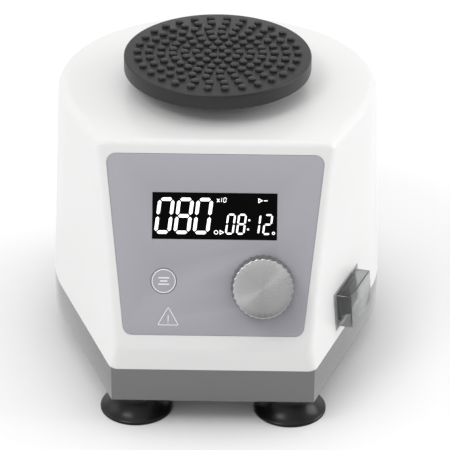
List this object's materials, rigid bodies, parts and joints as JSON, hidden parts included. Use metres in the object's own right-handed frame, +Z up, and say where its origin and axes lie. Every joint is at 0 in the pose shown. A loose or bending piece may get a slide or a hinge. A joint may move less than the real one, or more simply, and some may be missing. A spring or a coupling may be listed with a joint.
{
  "type": "vortex mixer",
  "caption": "Bench vortex mixer: flat studded orbiting platform on a white tapered body, sloped display panel with knob and key, hooded rocker switch, suction feet.",
  "frame": {"origin": "centre of the footprint on the bench, under the suction feet", "axes": "+Z up; the control panel faces -Y; +X is the side with the power switch"},
  "size_m": [0.1364, 0.1604, 0.1253],
  "materials": {
    "white_housing": "satin white paint on a die casting",
    "grey_base": "mid grey satin paint on a die casting",
    "label": "blank metallised label",
    "zinc_steel": "zinc plated",
    "black_rubber": "smooth glossy black rubber",
    "panel_film": "matt printed polyester film",
    "display_glass": "dark display window",
    "black_plastic": "moulded black",
    "circuit_board": "green solder mask",
    "encoder_metal": "plain",
    "brass": "tinned brass",
    "clear_plastic": "clear soft splash hood",
    "cast_ballast": "black oxide",
    "capacitor_sleeve": "shrink sleeve",
    "ground_steel": "ground steel",
    "spring_steel": "drawn wire",
    "aluminium": "machined",
    "motor_paint": "black electrocoat",
    "copper_stack": "lacquered laminations and windings",
    "silver_knob": "turned and anodised silver",
    "platform_rubber": "dark grey studded rubber"
  },
  "bodies": {
    "housing": {"housing_shell": "white_housing", "base_tray": "grey_base", "rating_plate": "label", "housing_screws": "zinc_steel", "foot_front_left": "black_rubber", "foot_front_right": "black_rubber", "foot_rear_left": "black_rubber", "foot_rear_right": "black_rubber", "panel_overlay": "panel_film", "lcd_window": "display_glass", "lcd_module": "black_plastic", "control_board": "circuit_board", "board_screws": "zinc_steel", "mode_switch": "black_plastic", "encoder_body": "encoder_metal", "encoder_nut": "zinc_steel", "switch_frame": "black_plastic", "rocker_pin": "zinc_steel", "switch_terminals": "brass", "switch_hood": "clear_plastic", "dc_jack": "black_plastic", "dc_jack_pin": "brass", "dc_jack_nut": "zinc_steel", "ballast_plate": "cast_ballast", "driver_board": "circuit_board", "driver_capacitor": "capacitor_sleeve", "guide_posts": "ground_steel", "post_nuts": "zinc_steel", "carriage_springs": "spring_steel", "touch_switch": "black_plastic", "neck_boot": "black_rubber"},
    "carriage": {"carrier_plate": "aluminium", "motor_can": "motor_paint", "motor_end_bell": "aluminium", "motor_stator": "copper_stack", "motor_bearing_lower": "ground_steel", "motor_bearing_upper": "ground_steel", "motor_screws": "zinc_steel"},
    "rotor": {"motor_shaft": "ground_steel", "motor_magnet": "copper_stack", "eccentric_hub": "aluminium", "hub_set_screw": "zinc_steel", "counterweight": "cast_ballast"},
    "platform": {"platform_bearing_lower": "ground_steel", "platform_bearing_upper": "ground_steel", "platform_hub": "aluminium", "platform_disc": "black_plastic", "platform_screw": "zinc_steel", "platform_pad": "platform_rubber"},
    "encoder_push": {"encoder_plunger": "encoder_metal"},
    "knob_turning": {"encoder_shaft": "encoder_metal", "knob": "silver_knob"},
    "mode_button": {"mode_key": "panel_film"},
    "rocker": {"switch_rocker": "black_plastic"}
  },
  "joints": [
    {"name": "platform_press", "type": "slide", "parent": "housing", "child": "carriage", "axis": [0, 0, -1], "range_m": [0, 0.0015], "stiffness_N_per_m": 4000, "springref_m": -0.004, "deforming": ["carriage_springs", "neck_boot"]},
    {"name": "shaft_spin", "type": "hinge", "parent": "carriage", "child": "rotor", "pos_m": [0, 0.01201, 0.07], "axis": [0, 0, 1], "continuous": true},
    {"name": "platform_orbit", "type": "hinge", "parent": "rotor", "child": "platform", "pos_m": [0, 0.01001, 0.107], "axis": [0, 0, 1], "continuous": true},
    {"name": "knob_press", "type": "slide", "parent": "housing", "child": "encoder_push", "axis": [0, 0.8964, -0.4433], "range_m": [0, 0.0005], "stiffness_N_per_m": 3000, "springref_m": -0.001},
    {"name": "knob_turn", "type": "hinge", "parent": "encoder_push", "child": "knob_turning", "pos_m": [0.0192, -0.07493, 0.06429], "axis": [0, -0.8964, 0.4433], "continuous": true},
    {"name": "mode_press", "type": "slide", "parent": "housing", "child": "mode_button", "axis": [0, 0.8964, -0.4433], "range_m": [0, 0.0003], "stiffness_N_per_m": 3000, "springref_m": -0.0005},
    {"name": "rocker_tilt", "type": "hinge", "parent": "housing", "child": "rocker", "pos_m": [0.05223, -0.03648, 0.0382], "axis": [-0.0774, 0.0304, 0.9965], "range_deg": [-24, 0]}
  ],
  "couplings": [
    {"joint": "platform_orbit", "follows": "shaft_spin", "ratio": -1}
  ]
}
